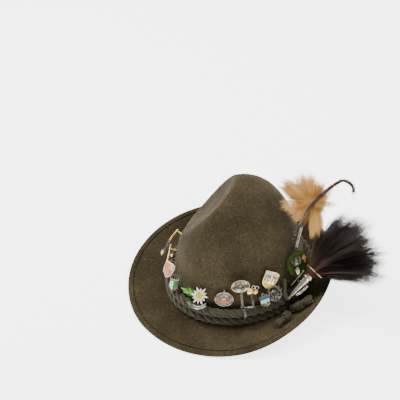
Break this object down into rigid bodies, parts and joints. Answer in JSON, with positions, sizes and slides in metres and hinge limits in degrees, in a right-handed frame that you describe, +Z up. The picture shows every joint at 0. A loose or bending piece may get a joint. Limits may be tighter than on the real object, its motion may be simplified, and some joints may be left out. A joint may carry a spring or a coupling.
{
  "type": "tyrolean felt hat",
  "caption": "Felt hat with a tall dented crown, an upturned brim, a twisted cord band, metal and enamel pins, a rosette, a dark hair brush and a tan tuft.",
  "frame": {"origin": "on the surface that the hat lies on, under the middle of its outline", "axes": "+Z up, the front of the hat towards -Y, the wearer's left towards +X"},
  "size_m": [0.3266, 0.2916, 0.1618],
  "materials": {
    "felt": "thick fuzzy wool felt, dark olive brown, dusty in places",
    "cord": "twisted olive brown cord",
    "silver": "aged silver-coloured metal",
    "gold": "gold-coloured metal",
    "white_enamel": "white enamel",
    "yellow_enamel": "yellow enamel",
    "green_enamel": "green enamel",
    "blue_enamel": "blue enamel",
    "red_enamel": "red enamel",
    "moss": "dark green chenille",
    "ivory": "polished tooth",
    "dark_hair": "near-black hair, red brown at its root",
    "tan_hair": "tan hair",
    "quill": "dark feather quill"
  },
  "bodies": {
    "root": {"felt_body": "felt", "cord_lower": "cord", "cord_upper": "cord", "cord_tie": "cord", "cord_end_back": "cord", "cord_end_front": "cord", "edelweiss_petals": "white_enamel", "edelweiss_florets": "yellow_enamel", "edelweiss_leaves": "green_enamel", "edelweiss_ribbon": "silver", "badge_rim": "silver", "badge_picture": "red_enamel", "horn_dish": "silver", "horn_coil": "gold", "horn_cords": "silver", "castle_shield": "gold", "antler_brooch": "silver", "small_shield": "blue_enamel", "silver_crest": "silver", "red_shield": "red_enamel", "brooch_rod": "gold", "charm_chain": "gold", "charm_drop": "ivory", "rosette_pad": "moss", "rosette_antlers": "silver", "rosette_cross": "gold", "rosette_tooth": "ivory", "brush_holder": "silver", "brush_hoop": "silver", "brush_hair": "dark_hair", "tuft_tube": "silver", "quill": "quill", "tuft_hair": "tan_hair"}
  },
  "joints": []
}
